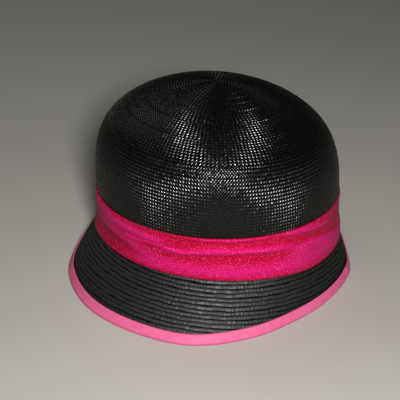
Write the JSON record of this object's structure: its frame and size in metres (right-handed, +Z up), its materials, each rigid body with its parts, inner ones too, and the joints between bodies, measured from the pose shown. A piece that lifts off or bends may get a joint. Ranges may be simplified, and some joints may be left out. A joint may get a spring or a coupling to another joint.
{
  "type": "straw cloche hat",
  "caption": "Domed woven straw cloche hat with a flared brim of sewn straw rows, a draped cloth band and a ribbon-bound edge that it stands on.",
  "frame": {"origin": "centre of the brim's outline, on the plane that the bound edge stands on", "axes": "+Z up, -Y toward the front of the hat where the brim is deepest, +X toward the wearer's left"},
  "size_m": [0.2089, 0.2277, 0.1442],
  "materials": {
    "crown_straw": "glossy black woven straw",
    "brim_straw": "glossy black straw braid sewn in rows",
    "band_cloth": "hot pink satin-backed cloth laid in folds",
    "binding_ribbon": "light pink grosgrain ribbon"
  },
  "bodies": {
    "root": {"crown": "crown_straw", "brim": "brim_straw", "hat_band": "band_cloth", "edge_binding": "binding_ribbon"}
  },
  "joints": []
}
